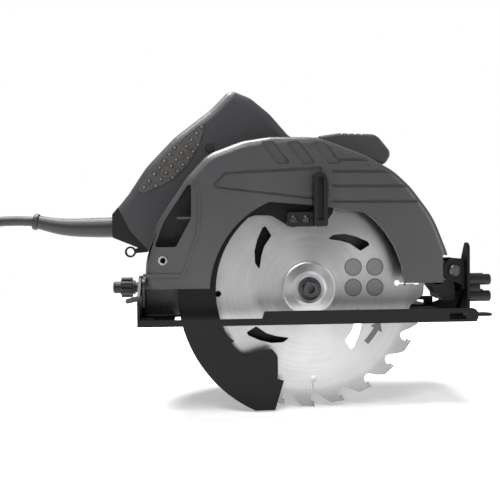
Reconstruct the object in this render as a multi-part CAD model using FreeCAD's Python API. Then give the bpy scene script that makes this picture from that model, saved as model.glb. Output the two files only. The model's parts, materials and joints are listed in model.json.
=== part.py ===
"""Corded 190 mm circular saw, built as separate closed solids in one frame.

Modelled about the blade centre: +X is the cutting direction, +Y runs from the
blade to the motor, +Z is up. The finished pieces are moved so that the origin
is the middle of the underside of the saw without its cord. Millimetres.
"""
import FreeCAD, Part
import math
import os

V = FreeCAD.Vector

# ---- driving dimensions -------------------------------------------------
BLADE_D = 190.0
BLADE_T = 1.6
KERF = 2.4
TEETH = 24
BORE_R = 15.0
FLANGE_R = 21.4
SOLE_Z = -24.0
SHEET = 2.0
BASE_REAR = -133.6
BASE_FRONT = 124.8
BASE_NEAR = -39.0
BASE_FAR = 110.0
GUARD_HALF = 18.0
WALL = 2.5
UPPER_R = 113.0
LOWER_R = 104.0
GUARD_INNER_R = 74.6
WINDOW_R = 76.5
LOWER_NEAR = -12.5
LOWER_FAR = 13.0
GUARD_SHEET = 1.5
HUB_R = 19.0
SPINDLE_R = 8.0
GEAR_TEETH = 48
PINION_TEETH = 12
MODULE = 0.85
GEAR_CASE_R = 24.0
GEAR_Y = 31.0
GEAR_W = 8.0
MOTOR_R = 43.0
MOTOR_Y = 45.0
MOTOR_LEN = 85.0
SHAFT_R = 5.0
PIN_X = 113.8
PIN_Z = 14.0
PIN_R = 3.5
STRAP_R = 193.0
DEPTH_TRAVEL = 29.0
BOLT_R = 3.0
HANDLE_Y0 = 24.0
HANDLE_Y1 = 58.0
BAR_R = 2.0
CORD_R = 4.0
COIL_MID = 48.0
COIL_W = 24.0
KNOB_R = 4.0
RUN_FIT = 0.05
SLIDE_FIT = 0.4
FREE = 0.5

BLADE_R = BLADE_D / 2
HALF_T = BLADE_T / 2
BASE_TOP = SOLE_Z + SHEET
FRAME_LOW = BASE_TOP + 0.6
CENTRES = MODULE * (GEAR_TEETH + PINION_TEETH) / 2
MOTOR_ANGLE = math.radians(100)
MX = CENTRES * math.cos(MOTOR_ANGLE)
MZ = CENTRES * math.sin(MOTOR_ANGLE)
MOTOR_END = MOTOR_Y + MOTOR_LEN
HANDLE_MID = (HANDLE_Y0 + HANDLE_Y1) / 2
STRAP_Y0 = GUARD_HALF + 1.0
STRAP_Y1 = STRAP_Y0 + 2.5
LEVER_STEP = 12.0
CORD_Y = HANDLE_MID
TIP_ANGLES = [360.0 / TEETH * k - 28.2 for k in range(TEETH)]
GROUND = min(BLADE_R * math.sin(math.radians(a + 0.9)) for a in TIP_ANGLES)


# ---- helpers -------------------------------------------------------------
def to_y(y):
    return lambda u, v: V(u, y, v)


def to_x(x):
    return lambda u, v: V(x, u, v)


def to_z(z):
    return lambda u, v: V(u, v, z)


def face(points, put):
    """A flat face from (u, v) or (u, v, corner radius) points."""
    n = len(points)
    runs = []
    for i, p in enumerate(points):
        a = V(points[i - 1][0], points[i - 1][1], 0)
        b = V(p[0], p[1], 0)
        c = V(points[(i + 1) % n][0], points[(i + 1) % n][1], 0)
        if len(p) < 3:
            runs.append((b, None, b))
            continue
        u = (a - b).normalize()
        w = (c - b).normalize()
        half = u.getAngle(w) / 2
        cut = p[2] / math.tan(half)
        mid = (u + w).normalize() * (p[2] / math.sin(half) - p[2])
        runs.append((b + u * cut, b + mid, b + w * cut))
    edges = []
    for i, (start, mid, end) in enumerate(runs):
        if mid is not None:
            pts = [put(q.x, q.y) for q in (start, mid, end)]
            edges.append(Part.Arc(*pts).toShape())
        nxt = runs[(i + 1) % n][0]
        if (nxt - end).Length > 1e-6:
            edges.append(Part.makeLine(put(end.x, end.y), put(nxt.x, nxt.y)))
    return Part.Face(Part.Wire(edges))


def plate_y(points, y0, y1):
    return face(points, to_y(y0)).extrude(V(0, y1 - y0, 0))


def plate_x(points, x0, x1):
    return face(points, to_x(x0)).extrude(V(x1 - x0, 0, 0))


def plate_z(points, z0, z1):
    return face(points, to_z(z0)).extrude(V(0, 0, z1 - z0))


def cyl_y(x, z, r, y0, y1):
    return Part.makeCylinder(r, y1 - y0, V(x, y0, z), V(0, 1, 0))


def cyl_x(y, z, r, x0, x1):
    return Part.makeCylinder(r, x1 - x0, V(x0, y, z), V(1, 0, 0))


def cyl_z(x, y, r, z0, z1):
    return Part.makeCylinder(r, z1 - z0, V(x, y, z0), V(0, 0, 1))


def ring_y(x, z, r0, r1, y0, y1):
    return cyl_y(x, z, r1, y0, y1).cut(cyl_y(x, z, r0, y0 - 1, y1 + 1))


def box(x0, x1, y0, y1, z0, z1):
    return Part.makeBox(x1 - x0, y1 - y0, z1 - z0, V(x0, y0, z0))


def polar(r, degrees, cx=0.0, cz=0.0):
    a = math.radians(degrees)
    return (cx + r * math.cos(a), cz + r * math.sin(a))


def sector(r0, r1, a0, a1, y0, y1, cx=0.0, cz=0.0):
    """A ring sector about the Y direction, from angle a0 up to a1 (degrees)."""
    def at(r, a):
        x, z = polar(r, a, cx, cz)
        return V(x, y0, z)
    mid = (a0 + a1) / 2
    edges = [
        Part.Arc(at(r1, a0), at(r1, mid), at(r1, a1)).toShape(),
        Part.makeLine(at(r1, a1), at(r0, a1)),
        Part.Arc(at(r0, a1), at(r0, mid), at(r0, a0)).toShape(),
        Part.makeLine(at(r0, a0), at(r1, a0)),
    ]
    return Part.Face(Part.Wire(edges)).extrude(V(0, y1 - y0, 0))


def turned_y(x, z, profile):
    """A solid of revolution about a Y line, from (radius, y) points."""
    pts = [V(x + r, y, z) for r, y in profile]
    wire = Part.makePolygon(pts + [pts[0]])
    return Part.Face(wire).revolve(V(x, 0, z), V(0, 1, 0), 360)


def turned_x(y, z, profile):
    """A solid of revolution about an X line, from (radius, x) points."""
    pts = [V(x, y + r, z) for r, x in profile]
    wire = Part.makePolygon(pts + [pts[0]])
    return Part.Face(wire).revolve(V(0, y, z), V(1, 0, 0), 360)


def spun(shape, degrees, x=0.0, z=0.0):
    """The shape turned about a Y line, positive from +X toward +Z."""
    return shape.rotated(V(x, 0, z), V(0, -1, 0), degrees)


def fuse(shapes):
    out = shapes[0]
    if len(shapes) > 1:
        out = out.fuse(shapes[1:])
    return out.removeSplitter()


def rounded(shape, radius, keep):
    edges = [e for e in shape.Edges if keep(e)]
    return shape.makeFillet(radius, edges)


def edge_on(y):
    return lambda e: all(abs(v.Point.y - y) < 1e-4 for v in e.Vertexes)


nodes = {}


def add(name, shape):
    """Keep a finished piece, as plain separate solids."""
    solids = shape.Solids
    nodes[name] = solids[0] if len(solids) == 1 else Part.makeCompound(solids)


# ---- upper guard ---------------------------------------------------------
REAR_EDGE = [
    (-128.6, 2.2),
    (-127.8, 24.0, 40),
    (-118.5, 54.0, 40),
    (-95.5, 88.5, 20),
    (-79.8, 105.5, 25),
    (-53.0, 115.6, 30),
    (-32.0, 119.0, 40),
]
TOP_EDGE = [
    (6.0, 119.0, 60),
    (44.0, 105.0, 60),
    (66.3, 92.7, 50),
    (80.0, 80.0, 60),
    (98.2, 56.4, 80),
    (110.9, 25.0, 60),
    (UPPER_R, 4.5),
]


SCREW_X = -114.9
SCREW_Z = 23.9


def make_upper_guard():
    lower = [(74.0, 4.5), (74.0, 2.2)]
    skin = plate_y(REAR_EDGE + TOP_EDGE + lower, -GUARD_HALF, GUARD_HALF)
    body = rounded(
        skin,
        7.0,
        lambda e: edge_on(-GUARD_HALF)(e) and e.CenterOfMass.z > 8.0,
    )
    inner = GUARD_HALF - WALL
    body = body.cut(cyl_y(0, 0, 107.0, -inner, inner))
    body = body.cut(box(-150, 150, -20, 20, -130, 2.2))
    chute = [
        (-126.0, 0.0),
        (-126.0, 30.0, 16),
        (-116.0, 55.5, 20),
        (-96.0, 84.0, 6),
        (-80.0, 84.0),
        (-80.0, 0.0),
    ]
    body = body.cut(plate_y(chute, -inner, inner))
    window = cyl_y(-3.0, -2.0, WINDOW_R, -20, -10)
    below = [
        (-80.0, -80.0),
        (-80.0, 71.8),
        (-33.6, 68.5),
        (4.9, 65.3),
        (46.6, 59.2),
        (80.0, 54.0),
        (80.0, -80.0),
    ]
    body = body.cut(window.common(plate_y(below, -20, -10)))
    mouth = [
        (-104.9, 34.2, 2),
        (-93.1, 56.0, 6),
        (-92.9, 81.4, 1.5),
        (-95.6, 81.6, 1.5),
        (-113.6, 54.0, 30),
        (-121.4, 34.2, 2),
    ]
    body = body.cut(plate_y(mouth, -20, -10))
    lip = plate_y(mouth_band(), -GUARD_HALF - 1.0, -GUARD_HALF + 0.5)
    body = body.fuse(lip)
    flange = box(-129.8, -101.0, -GUARD_HALF - 1.2, -12.0, 11.2, 13.8)
    body = body.fuse(flange.cut(box(-126, -90, -15.5, -10, 0, 20)))
    shelf = plate_y([(-104.0, 57.2), (-93.0, 57.2), (-93.0, 55.6), (-104.0, 55.6)],
                    -GUARD_HALF + WALL, 4.0)
    body = body.fuse(shelf)
    panel = [
        (-79.0, 79.3, 3),
        (-67.3, 91.6, 3),
        (8.6, 95.6, 2),
        (5.2, 69.6, 3),
    ]
    middle = [
        (-74.6, 80.6, 2),
        (-66.3, 89.4, 2),
        (6.2, 93.2, 1.5),
        (3.4, 71.8, 2),
    ]
    border = plate_y(panel, -20, -GUARD_HALF + 1.2)
    body = body.cut(border.cut(plate_y(middle, -21, 0)))
    for x in (-40.0, -20.1, 0.2):
        slot = [
            (x, 114.4, 1.5),
            (x + 9.6, 115.6, 1.5),
            (x + 23.6, 98.2, 1.5),
            (x + 13.4, 97.2, 1.5),
        ]
        body = body.cut(plate_y(slot, -20, -GUARD_HALF + 1.6))
    for z, x1 in ((101.0, 44.0), (92.0, 70.0), (80.6, 84.0), (68.6, 96.0)):
        groove = box(16.0, x1, -20, -GUARD_HALF + 1.4, z - 1.2, z + 1.2)
        body = body.cut(groove)
    boss = ring_y(0, 0, 13.0, HUB_R, 7.0, GUARD_HALF)
    body = body.cut(cyl_y(0, 0, 13.0, 10, 20)).fuse(boss)
    body = body.cut(cyl_y(SCREW_X, SCREW_Z, 3.5, -20, -12))
    notch = box(PIN_X - 9.6, 120, -20, 20, 0.0, 26.0)
    lug = plate_y(
        [(100, 6.0), (100, 23.0), (PIN_X, PIN_Z + 5.3), (PIN_X, PIN_Z - 5.3),
         (PIN_X - 2, 6.0)],
        -14.0,
        14.0,
    )
    lug = lug.fuse(cyl_y(PIN_X, PIN_Z, 5.3, -14.0, 14.0))
    lug = lug.cut(cyl_y(0, 0, 106.0, -20, 20))
    body = body.cut(notch).fuse(lug)
    body = body.cut(cyl_y(PIN_X, PIN_Z, PIN_R + RUN_FIT, -20, 20))
    bolt = cyl_y(*bolt_at(), BOLT_R, 10, 20)
    return body.cut(bolt).removeSplitter()


def mouth_band():
    return [
        (-88.2, 83.0),
        (-86.0, 72.0),
        (-86.4, 47.0),
        (-98.6, 13.0),
        (-100.4, 13.0),
        (-88.2, 47.4),
        (-87.8, 71.8),
        (-90.2, 83.0),
    ]


def bolt_at():
    return polar(STRAP_R, 183.0, PIN_X, PIN_Z)


add("upper_guard", make_upper_guard())
add("guard_bushing",
    ring_y(SCREW_X, SCREW_Z, 2.1, 3.5, -GUARD_HALF - 0.6, -GUARD_HALF + WALL))


LOCK_Y = 25.5
LOCK_R = 4.5
LOCK_CAP_R = 6.0


# ---- gear case, motor and drive -------------------------------------------
def make_gear_case():
    outer = cyl_y(0, 0, GEAR_CASE_R, GUARD_HALF, MOTOR_Y)
    outer = outer.fuse(cyl_y(MX, MZ, MOTOR_R + 1, GUARD_HALF, MOTOR_Y))
    nose = turned_y(0, 0, [(0, 45), (0, 51), (11.2, 51), (13.5, 45)])
    outer = outer.fuse(nose)
    hollow = cyl_y(0, 0, GEAR_CASE_R - 2.2, GEAR_Y - 3, GEAR_Y + GEAR_W + 2)
    hollow = hollow.fuse(cyl_y(MX, MZ, 9.5, GEAR_Y - 3, GEAR_Y + GEAR_W + 2))
    outer = outer.cut(hollow)
    outer = outer.cut(cyl_y(0, 0, 11.0, GUARD_HALF - 1, GEAR_Y))
    outer = outer.cut(cyl_y(0, 0, 10.0, GEAR_Y, 46.5))
    outer = outer.cut(cyl_y(MX, MZ, SHAFT_R + 1.5, GEAR_Y, 50))
    button = cyl_x(LOCK_Y, 0.0, LOCK_R + SLIDE_FIT, 9, 50)
    pocket = cyl_x(LOCK_Y, 0.0, LOCK_CAP_R + SLIDE_FIT, GEAR_CASE_R + 0.5, 60)
    return outer.cut(button).cut(pocket).removeSplitter()


def gear(teeth, width_y0, width_y1, bore, backlash, spread, cut_in):
    """An involute spur gear about the Y axis with a bore."""
    pitch = MODULE * teeth / 2
    press = math.radians(25)
    base = pitch * math.cos(press)
    tip = pitch + spread * MODULE
    root = pitch - cut_in * MODULE
    inv = math.tan(press) - press
    half = math.pi / (2 * teeth) - backlash / (4 * pitch)
    flank = []
    for i in range(6):
        low = max(base, root)
        r = low + (tip - low) * i / 5
        a = math.acos(base / r)
        flank.append((r, half + inv - (math.tan(a) - a)))
    if root < base:
        flank.insert(0, (root, flank[0][1]))
    pts = []
    for k in range(teeth):
        mid = 2 * math.pi * k / teeth
        for r, a in flank:
            pts.append(V(r * math.cos(mid - a), width_y0, r * math.sin(mid - a)))
        for r, a in reversed(flank):
            pts.append(V(r * math.cos(mid + a), width_y0, r * math.sin(mid + a)))
    wire = Part.makePolygon(pts + [pts[0]])
    out = Part.Face(wire).extrude(V(0, width_y1 - width_y0, 0))
    return out.cut(cyl_y(0, 0, bore, width_y0 - 1, width_y1 + 1))


add("gear_case", make_gear_case())
wheel = gear(GEAR_TEETH, GEAR_Y, GEAR_Y + GEAR_W, SPINDLE_R, 0.3, 0.8, 1.15)
toward = math.degrees(MOTOR_ANGLE)
wheel = spun(wheel, toward)
add("drive_gear", wheel)
pinion = gear(PINION_TEETH, GEAR_Y, GEAR_Y + GEAR_W, SHAFT_R - 1, 0.3, 0.85, 1.15)
pinion = spun(pinion, toward + 180.0 + 180.0 / PINION_TEETH)
pinion.translate(V(MX, 0, MZ))
core = cyl_y(MX, MZ, SHAFT_R - 1, GEAR_Y, GEAR_Y + GEAR_W)
shaft = cyl_y(MX, MZ, SHAFT_R, GEAR_Y + GEAR_W, MOTOR_END + 6)
add("rotor_shaft", fuse([pinion, core, shaft]))


def make_rotor_core():
    out = ring_y(MX, MZ, SHAFT_R, 22.0, MOTOR_Y + 23, MOTOR_Y + 58)
    for k in range(12):
        x, z = polar(22.0, 30.0 * k, MX, MZ)
        slot = cyl_y(x, z, 1.6, MOTOR_Y, MOTOR_END)
        out = out.cut(slot)
    return out


def make_fan():
    out = ring_y(MX, MZ, SHAFT_R, 33.0, MOTOR_Y + 8, MOTOR_Y + 9.5)
    out = out.fuse(ring_y(MX, MZ, SHAFT_R, 9.0, MOTOR_Y + 8, MOTOR_Y + 18))
    for k in range(14):
        blade = box(MX + 8, MX + 32, MOTOR_Y + 9, MOTOR_Y + 17, MZ - 0.8, MZ + 0.8)
        out = out.fuse(spun(blade, 360.0 * k / 14, MX, MZ))
    return out.removeSplitter()


add("rotor_core", make_rotor_core())
add("fan", make_fan())
commutator = ring_y(MX, MZ, SHAFT_R, 12.0, MOTOR_Y + 62, MOTOR_Y + 76)
for k in range(18):
    cx, cz = polar(12.0, 20.0 * k, MX, MZ)
    commutator = commutator.cut(cyl_y(cx, cz, 0.35, MOTOR_Y + 60, MOTOR_Y + 80))
add("commutator", commutator)


def vents(shape, count, r, y0, y1, half):
    """Long vent slots round the motor, left out over the top and the foot."""
    for k in range(count):
        a = 360.0 * k / count
        slot = box(MX, MX + r + 10, y0, y1, MZ - half, MZ + half)
        shape = shape.cut(spun(slot, a, MX, MZ))
    return shape


def make_motor_housing():
    out = ring_y(MX, MZ, MOTOR_R - 3, MOTOR_R, MOTOR_Y, MOTOR_END)
    out = vents(out, 20, MOTOR_R, MOTOR_END - 19, MOTOR_END - 6, 1.6)
    for k in range(24):
        x, z = polar(MOTOR_R, 15.0 * k + 7.5, MX, MZ)
        rib = cyl_y(x, z, 1.1, MOTOR_Y + 24, MOTOR_Y + 60)
        out = out.fuse(rib)
    wall = ring_y(MX, MZ, 11.0, MOTOR_R, MOTOR_Y, MOTOR_Y + 4)
    out = out.fuse(wall)
    return out.cut(cyl_y(0, 0, 14.0, MOTOR_Y - 1, MOTOR_Y + 7)).removeSplitter()


def make_end_cap():
    y = MOTOR_END
    shell = turned_y(
        MX,
        MZ,
        [(0, y + 13), (0, y + 18), (26, y + 18), (36, y + 14), (MOTOR_R, y + 5),
         (MOTOR_R, y), (MOTOR_R - 3, y), (MOTOR_R - 3, y + 4),
         (34, y + 11), (24, y + 13)],
    )
    seat = ring_y(MX, MZ, 9.0, 12.0, y, y + 14)
    out = shell.fuse(seat)
    for k in range(16):
        slot = box(MX + 16, MX + 31, y + 10, y + 20, MZ - 1.3, MZ + 1.3)
        out = out.cut(spun(slot, 22.5 * k, MX, MZ))
    return out.removeSplitter()


add("motor_housing", make_motor_housing())
add("motor_end_cap", make_end_cap())
add("stator_core", ring_y(MX, MZ, 23.0, MOTOR_R - 3, MOTOR_Y + 23, MOTOR_Y + 57))
front_coil = ring_y(MX, MZ, 24.0, 36.0, MOTOR_Y + 18.5, MOTOR_Y + 23)
rear_coil = ring_y(MX, MZ, 24.0, 36.0, MOTOR_Y + 57, MOTOR_Y + 61.5)
add("stator_windings", Part.makeCompound([front_coil, rear_coil]))
add("motor_bearing_front",
    ring_y(MX, MZ, SHAFT_R + 0.02, 11.0, MOTOR_Y, MOTOR_Y + 4))
add("motor_bearing_rear",
    ring_y(MX, MZ, SHAFT_R + 0.02, 9.0, MOTOR_END, MOTOR_END + 7))
brushes = []
for side in (-1, 1):
    x0 = MX + side * 12.4
    x1 = MX + side * (MOTOR_R - 3.6)
    brushes.append(box(min(x0, x1), max(x0, x1), MOTOR_Y + 65, MOTOR_Y + 73,
                       MZ - 4, MZ + 4))
holders = []
for brush in brushes:
    b = brush.BoundBox
    away = 1 if b.Center.x > MX else -1
    xin = MX + away * 15
    xout = MX + away * (MOTOR_R - 3)
    block = box(min(xin, xout), max(xin, xout), b.YMin - 2, b.YMax + 2,
                b.ZMin - 2, b.ZMax + 2)
    tube = cyl_y(MX, MZ, MOTOR_R - 3, b.YMin - 3, b.YMax + 3)
    holders.append(block.common(tube).cut(brush))
add("brush_holders", Part.makeCompound(holders))
add("carbon_brushes", Part.makeCompound(brushes))

# ---- spindle and blade ------------------------------------------------------
spindle = cyl_y(0, 0, SPINDLE_R, -HALF_T + 0.2, GEAR_Y + GEAR_W)
spindle = spindle.fuse(cyl_y(0, 0, SHAFT_R, GEAR_Y + GEAR_W, 46.0))
spindle = spindle.cut(cyl_y(0, 0, KNOB_R, -5, 15))
add("spindle", spindle.removeSplitter())
add("spindle_bearing_front", ring_y(0, 0, SPINDLE_R + 0.02, 13.0, 8.0, GUARD_HALF))
add("spindle_bearing_rear",
    ring_y(0, 0, SHAFT_R + 0.02, 10.0, GEAR_Y + GEAR_W + 2, 46.0))
inner = turned_y(
    0, 0,
    [(SPINDLE_R, 5.0), (SPINDLE_R, -HALF_T + 0.2), (BORE_R, -HALF_T + 0.2),
     (BORE_R, HALF_T), (FLANGE_R, HALF_T), (FLANGE_R, 3.6), (15.0, 5.0)],
)
add("inner_flange", inner)
add("outer_flange", turned_y(
    0, 0,
    [(KNOB_R, -HALF_T), (KNOB_R, -5.6), (11.5, -5.6), (14.0, -4.6),
     (FLANGE_R - 1.2, -2.9), (FLANGE_R, -2.2), (FLANGE_R, -HALF_T)],
))


def make_bolt():
    head = turned_y(
        0, 0,
        [(0, -12.0), (5.6, -12.0), (6.4, -11.2), (6.4, -7.6), (9.2, -7.2),
         (9.2, -5.6), (KNOB_R, -5.6), (KNOB_R, 14.0), (0, 14.0)],
    )
    hexagon = [polar(3.46, 60.0 * k + 15.0) for k in range(6)]
    return head.cut(plate_y(hexagon, -13.0, -7.6))


def tooth_points(k):
    """Corner points of one tooth, trailing side last, in the XZ plane."""
    tip = TIP_ANGLES[k % TEETH]
    spec = [
        (BLADE_R - 0.4, 0.0),
        (BLADE_R - 0.9, 5.6),
        (BLADE_R - 5.5, 8.9),
        (BLADE_R - 9.4, 11.2),
        (BLADE_R - 11.0, 13.0),
        (BLADE_R - 10.0, 14.8),
        (BLADE_R - 7.2, 15.9),
        (BLADE_R - 4.0, 15.6),
    ]
    return [polar(r, tip - a) for r, a in spec]


def make_blade():
    pts = []
    for k in range(TEETH, 0, -1):
        pts.extend(tooth_points(k))
    out = plate_y(pts, -HALF_T, HALF_T)
    out = out.cut(cyl_y(0, 0, BORE_R, -5, 5))
    crescent = [
        (15.6, 39.3, 0.6),
        (20.5, 42.8),
        (30.0, 43.3),
        (39.3, 41.0),
        (48.5, 36.9, 1),
        (50.0, 34.3, 1),
        (42.3, 29.6),
        (34.1, 35.3),
        (25.9, 37.8),
    ]
    cut = plate_y(crescent, -5, 5)
    x, z = polar(BLADE_R - 22.5, 2.7)
    hole = cyl_y(x, z, 2.5, -5, 5)
    slit = box(BLADE_R - 22.5, BLADE_R - 8.0, -5, 5, -0.65, 0.65)
    slit = spun(slit, 2.2)
    for k in range(4):
        for tool in (cut, hole, slit):
            out = out.cut(spun(tool, 90.0 * k))
    return out


def make_tips():
    tips = []
    for tip in TIP_ANGLES:
        corner = [
            polar(BLADE_R, tip + 0.9),
            polar(BLADE_R - 0.5, tip - 1.0),
            polar(BLADE_R - 4.0, tip - 0.6),
            polar(BLADE_R - 4.0, tip + 0.55),
        ]
        block = plate_y(corner, -KERF / 2, KERF / 2)
        tips.append(block.cut(nodes["blade"]))
    return Part.makeCompound([s for t in tips for s in t.Solids[:1]])


add("blade_bolt", make_bolt())
add("blade", make_blade())
add("blade_tips", make_tips())


# ---- lower guard --------------------------------------------------------------
LEAD = 253.0
TRAIL = 77.0


def make_lower_guard():
    y0 = LOWER_NEAR
    y1 = LOWER_NEAR + GUARD_SHEET
    near = sector(GUARD_INNER_R, LOWER_R, TRAIL, LEAD, y0, y1)
    lead = [
        (-66.0, -35.0),
        (-60.4, -39.2),
        (-62.9, -41.1),
        (-53.2, -52.0, 4),
        (-31.2, -45.8, 3.5),
        (-26.6, -51.6, 4),
        (-26.4, -66.0, 20),
        (-29.4, -82.4, 20),
        (-34.0, -100.0),
        (-48.0, -90.0),
        (-78.0, -64.0),
    ]
    trail = [
        (-52.0, 55.0),
        (-44.0, 58.2, 8),
        (-31.0, 58.0, 8),
        (-15.2, 48.6, 4),
        (12.0, 52.5, 4),
        (17.5, 60.0, 4),
        (20.0, 100.0),
        (-40.0, 95.0),
    ]
    near = near.fuse([plate_y(lead, y0, y1), plate_y(trail, y0, y1)])
    near = near.common(cyl_y(0, 0, LOWER_R, y0, y1))
    rim = sector(LOWER_R - GUARD_SHEET, LOWER_R, TRAIL, LEAD, y0, LOWER_FAR)
    far0 = LOWER_FAR - GUARD_SHEET
    far = sector(24.0, LOWER_R, TRAIL, LEAD, far0, LOWER_FAR)
    hub = ring_y(0, 0, HUB_R + RUN_FIT, 26.0, 8.5, LOWER_FAR)
    bead = sector(GUARD_INNER_R, GUARD_INNER_R + 1.6, 118.0, 208.0, y0 - 0.9, y0)
    out = near.fuse([rim, far, hub, bead])
    out = out.cut(box(-60, 0, -20, 20, -110, -94.2))
    return out.removeSplitter()


def make_lever():
    y_front = -27.0
    foot = plate_y(
        [(-19.6, 49.2, 2), (-19.6, 60.3, 2), (11.0, 60.3, 2), (10.6, 49.2, 2)],
        -21.0,
        LOWER_NEAR,
    )
    arm = plate_y(
        [(0.4, 49.2, 2), (0.4, 88.6, 2), (3.6, 90.8, 3), (8.6, 90.4, 4),
         (10.8, 84.0, 4), (10.8, 49.2, 2)],
        y_front,
        -20.0,
    )
    arm = arm.fuse(foot)
    arm = arm.cut(box(3.4, 7.6, y_front - 1, y_front + 3, 54, 87))
    for z in (73.0, 77.0, 81.0):
        for x in (0.4, 10.8):
            arm = arm.fuse(cyl_y(x, z, 1.0, y_front + 0.6, -20))
    return arm.removeSplitter()


add("lower_guard", make_lower_guard())
add("guard_lever", make_lever())
rivets = []
for x, z in ((-14.5, 54.8), (-5.0, 54.8)):
    rivets.append(turned_y(x, z, [(0, -22.4), (1.8, -22.4), (3.0, -21.0), (0, -21.0)]))
add("lever_rivets", Part.makeCompound(rivets))
bumper = plate_y(
    [(97.4, 2.6, 1), (103.2, -4.6, 2), (103.2, -7.6, 1), (108.2, -10.4, 3),
     (116.7, -10.4, 2), (116.7, 3.0, 3), (111.8, 6.0), (106.6, 6.0), (106.6, 2.6, 1)],
    -10.0,
    10.0,
)
add("front_bumper", bumper)

# ---- handle ----------------------------------------------------------------------
BAR = 1 / math.sqrt(2)
TRIG_X = -66.0
TRIG_Z = 108.0


def bar_point(s, n):
    """Along the grip bar by s and from its middle line toward the opening by n."""
    return (TRIG_X + BAR * (s + n), TRIG_Z + BAR * (s - n))


def bar_plate(points, y0, y1):
    flat = [bar_point(p[0], p[1]) + tuple(p[2:]) for p in points]
    return plate_y(flat, y0, y1)


HANDLE_OUTER = [
    (-152.6, 66.4),
    (-143.8, 77.4, 14),
    (-129.4, 99.3, 60),
    (-106.3, 123.6, 60),
    (-76.0, 147.0, 50),
    (-60.0, 163.5, 8),
    (-43.0, 157.0, 22),
    (-27.0, 144.0, 40),
    (-9.0, 123.6, 12),
    (14.0, 124.8),
]
HANDLE_INNER = [
    (14.0, 84.0),
    (28.0, 70.0),
    (20.0, 62.0),
    (-11.0, 29.0),
    (-50.0, 4.0),
    (-80.0, 16.0),
    (-128.9, 32.0),
    (-142.2, 46.4, 14),
]
OPENING = [
    (-104.0, 62.0, 9),
    (-62.0, 103.0, 9),
    (-42.0, 94.0, 9),
    (-42.0, 80.0, 8),
    (-72.0, 47.0, 9),
    (-95.0, 46.0, 9),
]


def make_handle():
    out = plate_y(HANDLE_OUTER + HANDLE_INNER, HANDLE_Y0, HANDLE_Y1)

    def side(e):
        return edge_on(HANDLE_Y0)(e) or edge_on(HANDLE_Y1)(e)

    def outer(e):
        mid = e.CenterOfMass
        high = mid.z > 66.0 and mid.z - mid.x > 150.0
        return side(e) and high and -147.0 < mid.x < -5.0

    out = rounded(out, 8.0, outer)
    out = out.cut(plate_y(OPENING, HANDLE_Y0 - 1, HANDLE_Y1 + 1))

    def inner(e):
        mid = e.CenterOfMass
        low = mid.z > 44.0 and mid.z - mid.x < 170.0
        return side(e) and low and -106.0 < mid.x < -40.0

    out = rounded(out, 5.0, inner)
    out = out.cut(cyl_y(MX, MZ, MOTOR_R + 1.05, 0, 100))
    hole = bar_plate([(4, -9), (4, 20), (-35, 20), (-35, -9)],
                     HANDLE_MID - 6, HANDLE_MID + 6)
    out = out.cut(hole)
    out = out.cut(bar_plate(SWITCH, HANDLE_MID - 7, HANDLE_MID + 7))
    out = out.cut(cyl_y(TRIG_X, TRIG_Z, BAR_R, HANDLE_MID - 9, HANDLE_MID + 9))
    out = out.cut(cyl_y(-77.3, 114.6, 3.6, HANDLE_Y0 - 1, HANDLE_Y0 + 9))
    return out


SWITCH = [(-4, -20), (-4, -9), (-32, -9), (-32, -20)]
handle = make_handle()
near_half = box(-300, 100, HANDLE_Y0 - 5, HANDLE_MID, -50, 200)
add("handle_shell_near", handle.common(near_half))
add("handle_shell_far", handle.cut(near_half))
add("switch_box", bar_plate(SWITCH, HANDLE_MID - 7, HANDLE_MID + 7))
add("trigger_pin", cyl_y(TRIG_X, TRIG_Z, BAR_R, HANDLE_MID - 9, HANDLE_MID + 9))
trigger = bar_plate(
    [(3, -5, 2), (3, 6, 2), (-5, 11, 4), (-26, 14, 6), (-33, 9, 3), (-32, -2, 2),
     (-10, -5)],
    HANDLE_MID - 5.5,
    HANDLE_MID + 5.5,
)
add("trigger", trigger.cut(cyl_y(TRIG_X, TRIG_Z, BAR_R + RUN_FIT, 0, 100)))
add("lock_button", cyl_y(-77.3, 114.6, 3.2, HANDLE_Y0 - 2.0, HANDLE_Y0 + 4.0))
pad = [
    (-132.0, 77.5, 2),
    (-110.6, 86.7, 30),
    (-97.0, 99.0, 30),
    (-86.0, 116.0, 30),
    (-81.5, 132.0, 2),
    (-86.0, 133.0, 4),
    (-106.0, 116.5, 40),
    (-127.0, 94.0, 40),
    (-137.0, 80.5, 3),
]
pad_solid = plate_y(pad, HANDLE_Y0 - 0.8, HANDLE_Y0)
pips = []
for row in range(3):
    for k in range(5):
        x = -126.5 + 7.0 * row + 6.6 * k
        z = 86.5 - 3.0 * row + 7.9 * k
        pips.append(cyl_y(x, z, 1.5, HANDLE_Y0 - 1.6, HANDLE_Y0 - 0.4))
inside = plate_y(pad, HANDLE_Y0 - 2.0, HANDLE_Y0)
pips = [p for p in pips if p.common(inside).Volume > 0.99 * p.Volume]
add("grip_pad", pad_solid.fuse(pips).removeSplitter())

FRONT = [
    (14.0, 84.0),
    (14.0, 124.8),
    (30.0, 127.2, 40),
    (61.5, 126.4, 12),
    (74.8, 110.5, 7),
    (68.5, 100.5, 4),
    (50.0, 106.5, 8),
    (34.0, 106.5, 8),
    (30.0, 84.0, 6),
]
GRIP_Y0 = 20.0
GRIP_Y1 = 62.0
front = plate_y(FRONT, GRIP_Y0, GRIP_Y1)
split = plate_y([(56.3, 131.0), (73.3, 98.0), (85.0, 98.0), (85.0, 131.0)], 0, 100)


def grip_side(e):
    mid = e.CenterOfMass
    flat = edge_on(GRIP_Y0)(e) or edge_on(GRIP_Y1)(e)
    steep = 33.0 * (mid.x - 56.3) + 17.0 * (mid.z - 131.0)
    return flat and mid.z > 99.0 and mid.x > 15.0 and abs(steep) > 20.0


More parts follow.
